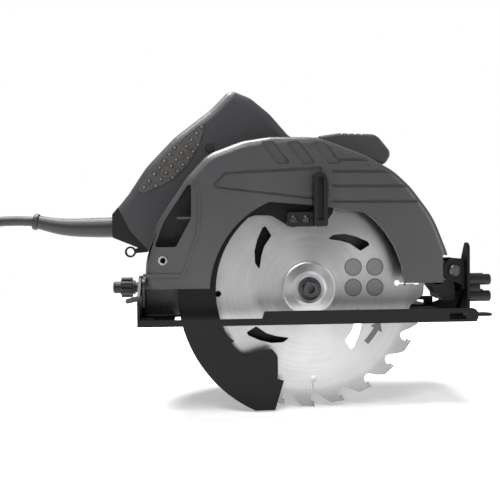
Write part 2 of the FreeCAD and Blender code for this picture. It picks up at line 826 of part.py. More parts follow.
front_cap = rounded(front.common(split), 2.5, grip_side)
front = rounded(front.cut(split), 3.0, grip_side)
for x in (32.0, 37.5, 43.0, 48.5):
    front = front.cut(box(x, x + 2.2, 0, 100, 125.6, 135))
front = front.cut(cyl_y(MX, MZ, MOTOR_R + 1.05, 0, 100))
add("front_grip", front)
add("front_grip_cap", front_cap)

COLLAR_X = -157.4
collar = plate_y(
    [(-152.6, 66.4), (COLLAR_X, 60.6, 1.5), (COLLAR_X, 41.6, 2), (-142.7, 35.6, 3),
     (-128.9, 29.6), (-128.9, 32.0), (-142.2, 46.4, 14)],
    HANDLE_MID - 13,
    HANDLE_MID + 13,
)
add("cord_collar", collar)


def make_key_clip():
    x, z = -143.8, 29.4
    out = ring_y(x, z, 3.1, 4.6, HANDLE_MID - 2, HANDLE_MID + 2)
    arm = plate_y([(x + 3, 28.2), (x + 3, 31.6), (-134, 34.0), (-129.2, 31.8),
                   (-129.2, 29.2)],
                  HANDLE_MID - 2, HANDLE_MID + 2)
    arm = arm.cut(cyl_y(x, z, 3.1, 0, 100))
    out = out.fuse(arm).cut(nodes["cord_collar"])
    out = out.cut(nodes["handle_shell_near"]).cut(nodes["handle_shell_far"])
    return out.removeSplitter()


add("key_clip", make_key_clip())

# ---- cord --------------------------------------------------------------------------
SLEEVE = [
    (COLLAR_X + 2.0, 50.3, 8.5),
    (-175.0, 49.9, 8.0),
    (-195.0, 50.4, 7.2),
    (-209.0, 52.4, 6.2),
    (-218.0, 54.4, 5.6),
    (-223.0, 55.4, 5.5),
]
SLEEVE_B = V(-223.0, CORD_Y, 55.4)
OUTWARD = V(-1.0, 0.0, 0.06).normalize()


def make_sleeve():
    """A curved taper with a bead round its free end."""
    rings = []
    for k, (x, z, r) in enumerate(SLEEVE):
        back = SLEEVE[max(k - 1, 0)]
        ahead = SLEEVE[min(k + 1, len(SLEEVE) - 1)]
        way = V(ahead[0] - back[0], 0, ahead[1] - back[1])
        rings.append(Part.Wire([Part.makeCircle(r, V(x, CORD_Y, z), way)]))
    body = Part.makeLoft(rings, True, False)
    way = V(-5.0, 0, 1.0).normalize()
    bead = Part.makeCylinder(6.8, 4.4, SLEEVE_B - way * 4.4, way)
    bead = bead.makeFillet(1.4, [e for e in bead.Edges if len(e.Vertexes) == 1])
    return body.fuse(bead).cut(box(COLLAR_X, -100, 0, 100, 0, 100)).removeSplitter()


add("cord_sleeve", make_sleeve())
COIL_C = V(-381.0, 75.0, GROUND)
COIL_OUT = COIL_MID + COIL_W / 2
RUN_X = COIL_C.x + COIL_MID + 2 * CORD_R
LYING = GROUND + CORD_R
ROUTE = [
    SLEEVE_B,
    SLEEVE_B + OUTWARD * 62.0,
    V(-322.0, -25.0, 2.0),
    V(RUN_X, -28.0, LYING),
    V(RUN_X, COIL_C.y, LYING),
]


def swept(points, r):
    """A round tube along straight runs joined by tangent arcs."""
    edges = []
    at = points[0]
    length = 0.0
    for i in range(1, len(points) - 1):
        b = points[i]
        u = (points[i - 1] - b).normalize()
        w = (points[i + 1] - b).normalize()
        half = u.getAngle(w) / 2
        short = min((points[i - 1] - b).Length, (points[i + 1] - b).Length)
        cut = 0.45 * short
        radius = cut * math.tan(half)
        start = b + u * cut
        end = b + w * cut
        mid = b + (u + w).normalize() * (radius / math.sin(half) - radius)
        edges.append(Part.makeLine(at, start))
        edges.append(Part.Arc(start, mid, end).toShape())
        length += (start - at).Length + edges[-1].Length
        at = end
        print("bend radius", round(radius, 1))
    edges.append(Part.makeLine(at, points[-1]))
    length += (points[-1] - at).Length
    path = Part.Wire(edges)
    way = (points[1] - points[0]).normalize()
    ring = Part.Wire([Part.makeCircle(r, points[0], way)])
    tube = path.makePipeShell([ring], True, True)
    print("cord run", round(length, 1), "tube volume", round(tube.Volume, 1),
          "expected", round(math.pi * r * r * length, 1))
    return tube


add("cord_tube", swept(ROUTE, CORD_R))
coil = cyl_z(COIL_C.x, COIL_C.y, COIL_OUT, GROUND, GROUND + COIL_W)
coil = coil.cut(
    cyl_z(COIL_C.x, COIL_C.y, COIL_OUT - COIL_W, GROUND - 1, GROUND + COIL_W + 1))
add("cord_coil", coil)
top = GROUND + COIL_W
tie = box(COIL_C.x - COIL_OUT - 2, COIL_C.x - COIL_OUT + COIL_W + 2,
          COIL_C.y - 4, COIL_C.y + 4, GROUND, top + 2)
add("cord_tie", tie.cut(coil))
PLUG_X = COIL_C.x + COIL_OUT - COIL_W + CORD_R
PLUG_Y = COIL_C.y + 5.0
plug = plate_z(
    [(PLUG_X - 7, PLUG_Y, 3), (PLUG_X + 7, PLUG_Y, 3), (PLUG_X + 17, PLUG_Y + 10, 8),
     (PLUG_X + 17, PLUG_Y + 42, 6), (PLUG_X - 17, PLUG_Y + 42, 6),
     (PLUG_X - 17, PLUG_Y + 10, 8)],
    top,
    top + 18,
)
add("plug_body", plug)
pins = []
for side in (-9.5, 9.5):
    stem = cyl_y(PLUG_X + side, top + 9, 2.4, PLUG_Y + 42, PLUG_Y + 60)
    point = Part.makeCone(2.4, 1.4, 1.2, V(PLUG_X + side, PLUG_Y + 60, top + 9),
                          V(0, 1, 0))
    pins.append(stem.fuse(point).removeSplitter())
add("plug_pins", Part.makeCompound(pins))

# ---- small controls -------------------------------------------------------------------
button = cyl_x(LOCK_Y, 0.0, LOCK_R, 14.0, GEAR_CASE_R + 4.5)
button = button.fuse(
    cyl_x(LOCK_Y, 0.0, LOCK_CAP_R, GEAR_CASE_R + 4.0, GEAR_CASE_R + 8.0))
add("spindle_lock", button.removeSplitter())
bx, bz = bolt_at()
bolt = cyl_y(bx, bz, BOLT_R, GUARD_HALF - WALL, 28.0)
bolt = bolt.fuse(cyl_y(bx, bz, 6.0, 27.0, 31.0))
add("depth_bolt", bolt.removeSplitter())


def make_depth_lever():
    """The hub lies on the strap; the arm steps outward, past the tilting base."""
    tip_x, tip_z = -148.0, -12.0
    length = math.hypot(tip_x - bx, tip_z - bz)
    thick = 4.0
    near = STRAP_Y1 + FREE
    outer = near + LEVER_STEP
    plan = plate_z(
        [(-9, near), (28, near), (28 + LEVER_STEP, outer), (length + 3, outer),
         (length + 3, outer + thick), (26.3 + LEVER_STEP, outer + thick),
         (26.3, near + thick), (-9, near + thick)],
        -20,
        20,
    )
    arm = plate_y(
        [(-8, -7, 6), (-8, 7, 6), (8, 7, 6), (30, 2.6, 12), (length, 2.0, 1.9),
         (length, -2.0, 1.9), (30, -2.6, 12), (8, -7, 6)],
        near,
        outer + thick,
    )
    arm = arm.common(plan)
    angle = math.degrees(math.atan2(tip_z - bz, tip_x - bx))
    arm = spun(arm, angle)
    arm.translate(V(bx, 0, bz))
    return arm.cut(cyl_y(bx, bz, BOLT_R + RUN_FIT, 0, 60))


add("depth_lever", make_depth_lever())

# ---- depth and bevel frame ---------------------------------------------------------------
FRONT_WALL = 119.9
KNOB_FRONT_Z = -0.8
KNOB_REAR_Z = 2.6
REAR_WALL = -131.2
EAR = 14.0 + 0.4
RAIL_Y = 50.0
RAIL_TOP = FRAME_LOW + 3.0


def arc_slot(z_knob, x0, x1, toward):
    """A slot round the bevel axis, for a knob stem over the bevel travel."""
    r = z_knob - SOLE_Z
    half = KNOB_R + 0.5
    axis = V(toward, 0, 0)
    flat = box(x0, x1, 0, 0.01, SOLE_Z + r - half, SOLE_Z + r + half)
    side = [f for f in flat.Faces if abs(f.CenterOfMass.y) < 1e-6][0]
    band = side.revolve(V(0, 0, SOLE_Z), axis, 45)
    start = cyl_x(0, z_knob, half, x0, x1)
    end = start.rotated(V(0, 0, SOLE_Z), axis, 45)
    return band.fuse([start, end])


def make_front_bracket():
    ear = [
        (PIN_X, PIN_Z + 9.0),
        (FRONT_WALL + 2.4, PIN_Z + 9.2),
        (FRONT_WALL + 2.4, 1.3, 2),
        (PIN_X, PIN_Z - 9.0),
    ]
    sides = []
    for y in (-EAR - 2.4, EAR):
        sides.append(plate_y(ear, y, y + 2.4))
        sides.append(cyl_y(PIN_X, PIN_Z, 9.0, y, y + 2.4))
    wall = plate_x(
        [(2.0, FRAME_LOW), (-1.0, FRAME_LOW + 1.8),
         (-EAR - 2.4, -1.0), (-EAR - 2.4, PIN_Z + 9), (EAR + 2.4, PIN_Z + 9),
         (30.0, 6.0, 6), (34.0, -14.0, 6), (RAIL_Y + 5.0, RAIL_TOP),
         (RAIL_Y + 5.0, FRAME_LOW)],
        FRONT_WALL,
        FRONT_WALL + 2.4,
    )
    out = wall.fuse(sides)
    out = out.cut(cyl_y(PIN_X, PIN_Z, PIN_R, -30, 30))
    return out.cut(arc_slot(KNOB_FRONT_Z, 100, 140, -1)).removeSplitter()


def make_pin():
    pin = cyl_y(PIN_X, PIN_Z, PIN_R, -EAR - 2.4, EAR + 2.4)
    head = turned_y(PIN_X, PIN_Z, [(0, -19.4), (3.4, -19.4), (4.6, -18.6),
                                   (4.6, -EAR - 2.4), (0, -EAR - 2.4)])
    clip = cyl_y(PIN_X, PIN_Z, 4.6, EAR + 2.4, EAR + 4.0)
    return pin.fuse([head, clip]).removeSplitter()


def make_depth_strap():
    r0 = STRAP_R - 7.5
    r1 = STRAP_R + 7.5
    end = 183.0 - DEPTH_TRAVEL - 2.5
    strap = sector(r0, r1, end, 190.5, STRAP_Y0, STRAP_Y1, PIN_X, PIN_Z)
    slot = sector(STRAP_R - 3.8, STRAP_R + 3.8, end + 1.2, 184.4,
                  STRAP_Y0 - 1, STRAP_Y1 + 1, PIN_X, PIN_Z)
    strap = strap.cut(slot)
    foot = plate_y(
        [(-62.0, FRAME_LOW), (-62.0, -14.0), (-84.0, -12.0), (-100.0, -4.0, 6),
         (-107.0, 0.8, 4), (REAR_WALL, 0.8), (REAR_WALL, FRAME_LOW)],
        STRAP_Y0,
        STRAP_Y1,
    )
    wall = plate_x(
        [(RAIL_Y + 5.0, FRAME_LOW), (2.0, FRAME_LOW), (-1.0, FRAME_LOW + 1.8),
         (-8.0, -12.5), (-8.0, 9.4, 4), (8.0, 9.4, 4), (12.0, 0.8), (STRAP_Y1, 0.8),
         (STRAP_Y1, RAIL_TOP), (RAIL_Y + 5.0, RAIL_TOP)],
        REAR_WALL,
        REAR_WALL + 1.8,
    )
    out = strap.fuse([foot, wall])
    return out.cut(cyl_x(0, KNOB_REAR_Z, KNOB_R, -140, -130)).removeSplitter()


add("front_bracket", make_front_bracket())
add("pivot_pin", make_pin())
add("depth_strap", make_depth_strap())
rail = plate_y(
    [(REAR_WALL + 1.8, FRAME_LOW), (REAR_WALL + 1.8, RAIL_TOP), (88.0, RAIL_TOP),
     (97.0, -12.4, 3), (FRONT_WALL, -12.4), (FRONT_WALL, FRAME_LOW)],
    RAIL_Y,
    RAIL_Y + 5.0,
)
add("tilt_rail", rail.cut(box(102.0, 113.0, 40, 60, -19.6, -15.4)))

# ---- base ---------------------------------------------------------------------------------
RIM_LOW = 4.9
RIM_HIGH = 10.3
SLOT_HALF = 24.0
POST_X = 108.2
FENCE_H = 4.6
EYE_X = 144.6


def make_base():
    r = 10.0
    flat = plate_z(
        [(BASE_REAR, BASE_NEAR, 4), (BASE_FRONT, BASE_NEAR, 4),
         (BASE_FRONT, BASE_FAR, r), (BASE_REAR + 45, BASE_FAR, r),
         (BASE_REAR, BASE_FAR - 45, r)],
        SOLE_Z,
        BASE_TOP,
    )
    slot = plate_z(
        [(-106.5, -SLOT_HALF, 4), (107.5, -SLOT_HALF, 4), (107.5, SLOT_HALF, 4),
         (-106.5, SLOT_HALF, 4)],
        SOLE_Z - 1,
        BASE_TOP + 1,
    )
    far = box(BASE_REAR + 60, BASE_FRONT - 15, BASE_FAR - SHEET, BASE_FAR,
              SOLE_Z, SOLE_Z + RIM_LOW)
    room = plate_z(
        [(-30.0, 0.0), (-30.0, MOTOR_Y + 4, 6), (30.0, MOTOR_Y + 4, 6), (30.0, 0.0)],
        SOLE_Z - 1,
        BASE_TOP + 1,
    )
    out = flat.cut(slot).cut(room).fuse(far)
    eye = plate_z(
        [(BASE_FRONT - 2, -8), (BASE_FRONT - 2, 6), (138.0, 5, 4), (151.0, 5, 5.5),
         (151.0, -7, 5.5), (138.0, -7, 4)],
        SOLE_Z,
        BASE_TOP,
    )
    out = out.fuse(eye)
    out = out.cut(cyl_z(EYE_X, -1.0, 3.0, SOLE_Z - 1, BASE_TOP + 1))
    for y in (64.0, 84.0):
        bead = cyl_x(y, BASE_TOP - 1.2, 2.4, -90, 105)
        out = out.fuse(bead)
    return out.cut(box(-200, 200, -60, 130, SOLE_Z - 5, SOLE_Z)).removeSplitter()


def make_base_rim():
    """The raised edge on the near side, with the gap for a fence bar."""
    rim = plate_y(
        [(BASE_REAR + 1.2, BASE_TOP), (BASE_REAR + 1.2, SOLE_Z + RIM_LOW, 1.5),
         (-41.2, SOLE_Z + RIM_LOW, 1), (-39.6, SOLE_Z + RIM_HIGH, 1.5),
         (BASE_FRONT - 0.6, SOLE_Z + RIM_HIGH, 5), (BASE_FRONT - 0.6, BASE_TOP)],
        BASE_NEAR,
        BASE_NEAR + SHEET,
    )
    window = box(POST_X - 6.7, POST_X + 6.7, BASE_NEAR - 1, BASE_NEAR + 4,
                 BASE_TOP - 1, BASE_TOP + FENCE_H)
    return rim.cut(window)


FRONT_QUAD = BASE_FRONT - SHEET
REAR_QUAD = BASE_REAR


def make_front_quadrant():
    out = plate_x(
        [(16.0, BASE_TOP), (14.0, 4.0, 8), (-4.0, 16.0, 8), (-11.0, 30.0, 6),
         (-15.0, 36.6, 2.4), (-21.0, 34.0, 4), (-21.4, BASE_TOP)],
        FRONT_QUAD,
        FRONT_QUAD + SHEET,
    )
    return out.cut(cyl_x(0, KNOB_FRONT_Z, KNOB_R, FRONT_QUAD - 1, FRONT_QUAD + 5))


def make_rear_quadrant():
    out = plate_x(
        [(14.0, SOLE_Z + 5), (14.0, 4.0, 6), (8.0, 11.4, 6), (-10.0, 11.4, 8),
         (-33.0, -4.0, 8), (-33.0, SOLE_Z + 5)],
        REAR_QUAD,
        REAR_QUAD + SHEET,
    )
    out = out.cut(arc_slot(KNOB_REAR_Z, REAR_QUAD - 1, REAR_QUAD + 5, 1))
    foot = plate_z(
        [(REAR_QUAD, -33.0), (REAR_QUAD + 12.0, -33.0), (REAR_QUAD + 12.0, -24.4),
         (REAR_QUAD + SHEET, -24.4), (REAR_QUAD + SHEET, 14.0), (REAR_QUAD, 14.0)],
        BASE_TOP,
        SOLE_Z + 5.2,
    )
    return out.fuse(foot).removeSplitter()


def make_knob(face_x, way, z, lobes, reach, lobe, hub_end, lobe_end, nub, nub_end):
    """A lobed knob on the X direction, with its stem back through the frame."""
    mid = reach - lobe
    profile = [(0, 0), (mid, 0), (mid, hub_end), (nub, hub_end), (nub, nub_end - 1),
               (nub - 1, nub_end), (0, nub_end)]
    out = turned_x(0, z, [(r, face_x + way * x) for r, x in profile])
    for k in range(lobes):
        a = 2 * math.pi * (k + 0.5) / lobes
        x0 = face_x + way * 2
        x1 = face_x + way * lobe_end
        out = out.fuse(cyl_x(mid * math.cos(a), z + mid * math.sin(a), lobe,
                             min(x0, x1), max(x0, x1)))
    stem_end = face_x - way * 6.6
    stem = cyl_x(0, z, KNOB_R - 0.03, min(face_x, stem_end), max(face_x, stem_end))
    return out.fuse(stem).removeSplitter()


add("base_plate", make_base())
add("base_rim", make_base_rim())
add("front_quadrant", make_front_quadrant())
add("rear_quadrant", make_rear_quadrant())
add("front_knob", make_knob(
    FRONT_QUAD + SHEET + 0.4, 1, KNOB_FRONT_Z, 4, 13.8, 4.4, 13.0, 21.2, 4.0, 14.5))
add("rear_knob", make_knob(
    REAR_QUAD - 3.4, -1, KNOB_REAR_Z, 6, 7.8, 2.4, 11.2, 10.6, 4.6, 16.8))
POST_TOP = BASE_TOP + FENCE_H + 1.6
SCREW_Y = BASE_NEAR + 4.0
post = box(POST_X - 7.7, POST_X + 7.7, BASE_NEAR + SHEET, SCREW_Y + 2.6, BASE_TOP, POST_TOP)
post = post.cut(box(POST_X - 6.7, POST_X + 6.7, -60, -20, BASE_TOP, BASE_TOP + FENCE_H))
edge = plate_x(
    [(SCREW_Y + 2.7, POST_TOP - 2.5), (SCREW_Y + 2.7, POST_TOP + 0.1),
     (SCREW_Y + 0.1, POST_TOP + 0.1)],
    POST_X - 8,
    POST_X + 8,
)
post = post.cut(edge)
add("fence_post", post.cut(cyl_z(POST_X, SCREW_Y, 1.5, BASE_TOP + 3, BASE_TOP + 10)))
screw = cyl_z(POST_X, SCREW_Y, 1.47, BASE_TOP + FENCE_H + 0.2, POST_TOP + 0.3)
screw = screw.fuse(cyl_z(POST_X, SCREW_Y, 1.7, POST_TOP + 0.1, POST_TOP + 1.5))
slit = box(POST_X - 5, POST_X + 5, SCREW_Y - 0.4, SCREW_Y + 0.4, POST_TOP + 0.9, POST_TOP + 3)
add("fence_screw", screw.cut(slit).removeSplitter())

# ---- move to the origin and write ------------------------------------------------------------
CORD = ("cord_tube", "cord_coil", "cord_tie", "plug_body", "plug_pins")
own = [s for n, s in nodes.items() if n not in CORD]
whole = Part.makeCompound(own).optimalBoundingBox(False)
shift = V(-(whole.XMin + whole.XMax) / 2, -(whole.YMin + whole.YMax) / 2, -whole.ZMin)
print("shift", round(shift.x, 4), round(shift.y, 4), round(shift.z, 4))
os.makedirs("parts", exist_ok=True)
for name, shape in nodes.items():
    placed = shape.translated(shift)
    if not placed.isValid():
        print("not valid:", name)
    placed.exportStep("parts/" + name + ".step")
print(len(nodes), "pieces")
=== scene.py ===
import json
import math
import bpy
from mathutils import Matrix, Vector


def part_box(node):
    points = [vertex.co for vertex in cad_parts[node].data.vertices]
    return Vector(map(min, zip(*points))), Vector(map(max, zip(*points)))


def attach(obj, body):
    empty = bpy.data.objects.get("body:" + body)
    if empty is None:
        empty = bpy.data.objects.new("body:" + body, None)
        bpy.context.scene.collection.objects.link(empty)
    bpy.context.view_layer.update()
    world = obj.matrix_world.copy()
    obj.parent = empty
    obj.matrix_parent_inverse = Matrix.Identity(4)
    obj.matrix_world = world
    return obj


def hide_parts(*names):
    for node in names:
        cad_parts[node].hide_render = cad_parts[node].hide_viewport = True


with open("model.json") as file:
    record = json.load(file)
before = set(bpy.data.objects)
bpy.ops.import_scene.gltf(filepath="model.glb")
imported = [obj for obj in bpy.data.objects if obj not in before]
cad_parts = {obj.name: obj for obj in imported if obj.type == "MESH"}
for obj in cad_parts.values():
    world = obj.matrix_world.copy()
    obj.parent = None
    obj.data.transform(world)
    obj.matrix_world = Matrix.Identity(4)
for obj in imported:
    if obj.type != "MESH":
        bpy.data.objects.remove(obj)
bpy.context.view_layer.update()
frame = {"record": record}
MM = 0.001

blade_lo, blade_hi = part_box("blade")
hub_lo, hub_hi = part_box("inner_flange")
arbor = Vector(
    (
        (hub_lo[0] + hub_hi[0]) / 2,
        (blade_lo[1] + blade_hi[1]) / 2,
        (hub_lo[2] + hub_hi[2]) / 2,
    )
)


def at(x, y, z):
    """A point given in millimetres from the blade's centre."""
    return arbor + Vector((x, y, z)) * MM


# ---- camera ----
LENS_MM = 50.6
SENSOR_MM = 36.0
CAMERA_AT = (-95.3, -555.5, 44.0)
YAW, PITCH_DOWN, ROLL = -5.0, 1.33, -0.4
cam = bpy.data.cameras.new("camera")
cam.lens = LENS_MM
cam.sensor_width = SENSOR_MM
cam.clip_start = 0.02
cam_obj = bpy.data.objects.new("camera", cam)
bpy.context.scene.collection.objects.link(cam_obj)
cam_obj.location = at(*CAMERA_AT)
turn = (
    Matrix.Rotation(math.radians(YAW), 4, "Z")
    @ Matrix.Rotation(math.radians(90.0 - PITCH_DOWN), 4, "X")
    @ Matrix.Rotation(math.radians(ROLL), 4, "Z")
)
cam_obj.rotation_euler = turn.to_euler()
bpy.context.scene.camera = cam_obj


# ---- cord ----
CORD_R = 4.0
SLEEVE_END = Vector((-223.0, 41.0, 55.4))
GROUND = -arbor.z / MM
COIL = Vector((-381.0, 75.0, GROUND))
way = Vector((-1.0, 0.0, 0.06)).normalized()
route = [
    SLEEVE_END,
    SLEEVE_END + way * 62.0,
    Vector((-322.0, -25.0, 2.0)),
    Vector((-325.0, -28.0, GROUND + CORD_R)),
    Vector((-325.0, 75.0, GROUND + CORD_R)),
]


def coil_radius(t):
    lap = t % 3
    if t < 3:
        return 56 - 8 * min(t, 2)
    if t < 6:
        return 40 + 8 * min(t - 3, 2)
    return 56 - 8 * min(t - 6, 2)


def coil_height(t):
    z = GROUND + CORD_R
    z += 8 * min(max((t - 2.5) / 0.5, 0), 1)
    z += 8 * min(max((t - 5.5) / 0.5, 0), 1)
    z += 13 * min(max((t - 8.35) / 0.55, 0), 1)
    return z


PER_TURN = 14
for i in range(1, 9 * PER_TURN + 1):
    t = i / PER_TURN
    a = 2 * math.pi * t
    r = coil_radius(t)
    route.append(
        Vector((COIL.x + r * math.cos(a), COIL.y + r * math.sin(a), coil_height(t)))
    )
route.append(Vector((COIL.x + 40.0, COIL.y + 6.0, route[-1].z)))

curve = bpy.data.curves.new("cord", "CURVE")
curve.dimensions = "3D"
curve.bevel_depth = 1.0  # times each point's radius, so the curve's box fits it
curve.bevel_resolution = 6
curve.use_fill_caps = True
curve.resolution_u = 10
spline = curve.splines.new("NURBS")
spline.points.add(len(route) - 1)
for p, q in zip(spline.points, route):
    p.co = (*at(*q), 1.0)
    p.radius = CORD_R * MM
spline.order_u = 3
spline.use_endpoint_u = True
cord = bpy.data.objects.new("cord", curve)
bpy.context.scene.collection.objects.link(cord)
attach(cord, "housing")
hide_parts("cord_tube", "cord_coil")


# ---- materials ----
class Nodes:
    """A small helper to build one node material."""

    def __init__(self, name):
        self.mat = bpy.data.materials.new(name)
        self.mat.use_nodes = True
        self.tree = self.mat.node_tree
        self.out = self.tree.nodes["Material Output"]
        self.bsdf = self.tree.nodes["Principled BSDF"]
        self.coord = self.node("ShaderNodeTexCoord").outputs["Object"]

    def node(self, kind, **settings):
        made = self.tree.nodes.new(kind)
        for key, value in settings.items():
            if key in made.inputs:
                made.inputs[key].default_value = value
            else:
                setattr(made, key, value)
        return made

    def link(self, a, b):
        self.tree.links.new(a, b)

    def noise(self, scale, detail=3.0, rough=0.5, vector=None):
        made = self.node("ShaderNodeTexNoise", Scale=scale, Detail=detail)
        made.inputs["Roughness"].default_value = rough
        self.link(vector or self.coord, made.inputs["Vector"])
        return made.outputs["Fac"]

    def ramp(self, value, stops):
        made = self.node("ShaderNodeValToRGB")
        self.link(value, made.inputs["Fac"])
        bands = made.color_ramp.elements
        while len(bands) < len(stops):
            bands.new(0.5)
        for band, (pos, shade) in zip(bands, stops):
            band.position = pos
            band.color = (*shade, 1) if hasattr(shade, "__len__") else (shade,) * 3 + (1,)
        return made.outputs["Color"]

    def mix(self, kind, fac, a, b):
        made = self.node("ShaderNodeMix", data_type="RGBA", blend_type=kind)
        for socket, value in ((0, fac), (6, a), (7, b)):
            if hasattr(value, "is_output"):
                self.link(value, made.inputs[socket])
            elif socket == 0:
                made.inputs[0].default_value = value
            else:
                made.inputs[socket].default_value = (*value, 1)
        return made.outputs[2]

    def math(self, kind, a, b=None):
        made = self.node("ShaderNodeMath", operation=kind)
        for socket, value in ((0, a), (1, b)):
            if value is None:
                continue
            if hasattr(value, "is_output"):
                self.link(value, made.inputs[socket])
            else:
                made.inputs[socket].default_value = value
        return made.outputs[0]

    def bump(self, height, strength, distance, normal=None):
        made = self.node("ShaderNodeBump", Strength=strength, Distance=distance)
        self.link(height, made.inputs["Height"])
        if normal is not None:
            self.link(normal, made.inputs["Normal"])
        return made.outputs["Normal"]


def worn(n, base, light, dark):
    """Colour with slow variation, and faint scuffs where a hand or a board rubs."""
    slow = n.noise(26.0, 4.0)
    colour = n.ramp(slow, [(0.3, dark), (0.7, base)])
    mapped = n.node("ShaderNodeMapping")
    mapped.inputs["Scale"].default_value = (60.0, 300.0, 420.0)
    n.link(n.coord, mapped.inputs["Vector"])
    streak = n.ramp(n.noise(1.0, 6.0, 0.7, mapped.outputs["Vector"]),
                    [(0.66, 0.0), (0.78, 1.0)])
    patch = n.ramp(n.noise(16.0, 3.0), [(0.50, 0.0), (0.68, 0.55)])
    mask = n.math("MULTIPLY", streak, patch)
    return n.mix("MIX", mask, colour, light)


def moulded(name, base, rough, grain, bump, light=None, metallic=0.0, coat=0.0,
            shine=0.5, pips=0.0):
    """Textured paint or moulded plastic with a fine grain, and bumped pips on a soft grip,
    coloured with a painted shade ring around each pip and a painted highlight on each pip's
    top.
    """
    n = Nodes(name)
    light = light or tuple(min(1.0, c * 1.9 + 0.02) for c in base)
    dark = tuple(c * 0.82 for c in base)
    tone = worn(n, base, light, dark)
    fine = n.noise(grain, 2.0)
    shade = n.ramp(fine, [(0.25, rough - 0.09), (0.75, rough + 0.09)])
    n.link(shade, n.bsdf.inputs["Roughness"])
    first = n.bump(fine, bump, 0.0004)
    smear = n.noise(grain / 9, 4.0)
    last = n.bump(smear, bump * 0.4, 0.0006, first)
    if pips:
        flat = n.node("ShaderNodeMapping")
        flat.inputs["Scale"].default_value = (1.0, 0.0, 1.0)
        flat.inputs["Rotation"].default_value = (0.0, math.radians(52), 0.0)
        n.link(n.coord, flat.inputs["Vector"])
        cells = n.node("ShaderNodeTexVoronoi", Scale=1.0 / pips, Randomness=0.0)
        n.link(flat.outputs["Vector"], cells.inputs["Vector"])
        near = cells.outputs["Distance"]
        # painted shade: the colour is darkened in a ring around the foot of each pip
        ring = n.ramp(near, [(0.16, 0.0), (0.21, 1.0), (0.27, 1.0), (0.34, 0.0)])
        tone = n.mix("MIX", ring, tone, tuple(c * 0.25 for c in base))
        # painted highlight: the centre of each pip is mixed towards the light colour
        tone = n.mix("MIX", n.ramp(near, [(0.10, 1.0), (0.16, 0.0)]), tone, light)
        last = n.bump(n.ramp(near, [(0.1, 1.0), (0.26, 0.0)]), 0.6, 0.0008, last)
    n.link(tone, n.bsdf.inputs["Base Color"])
    n.link(last, n.bsdf.inputs["Normal"])
    n.bsdf.inputs["Metallic"].default_value = metallic
    n.bsdf.inputs["Coat Weight"].default_value = coat
    n.bsdf.inputs["Coat Roughness"].default_value = 0.25
    n.bsdf.inputs["Specular IOR Level"].default_value = shine
    return n.mat


def machined(name, base, rough, stretch, bump=0.15):
    """Turned, ground or rolled metal with fine lines along one direction."""
    n = Nodes(name)
    mapped = n.node("ShaderNodeMapping")
    mapped.inputs["Scale"].default_value = stretch
    n.link(n.coord, mapped.inputs["Vector"])
    lines = n.noise(1.0, 3.0, 0.6, mapped.outputs["Vector"])
    light = tuple(min(1.0, c * 1.25) for c in base)
    dark = tuple(c * 0.7 for c in base)
    tone = n.ramp(lines, [(0.3, dark), (0.7, light)])
    stain = n.ramp(n.noise(60.0, 4.0), [(0.35, 0.82), (0.65, 1.0)])
    n.link(n.mix("MULTIPLY", 1.0, tone, stain), n.bsdf.inputs["Base Color"])
    n.link(n.ramp(lines, [(0.2, rough - 0.08), (0.8, rough + 0.1)]),
           n.bsdf.inputs["Roughness"])
    n.link(n.bump(lines, bump, 0.0002), n.bsdf.inputs["Normal"])
    n.bsdf.inputs["Metallic"].default_value = 1.0
    return n.mat


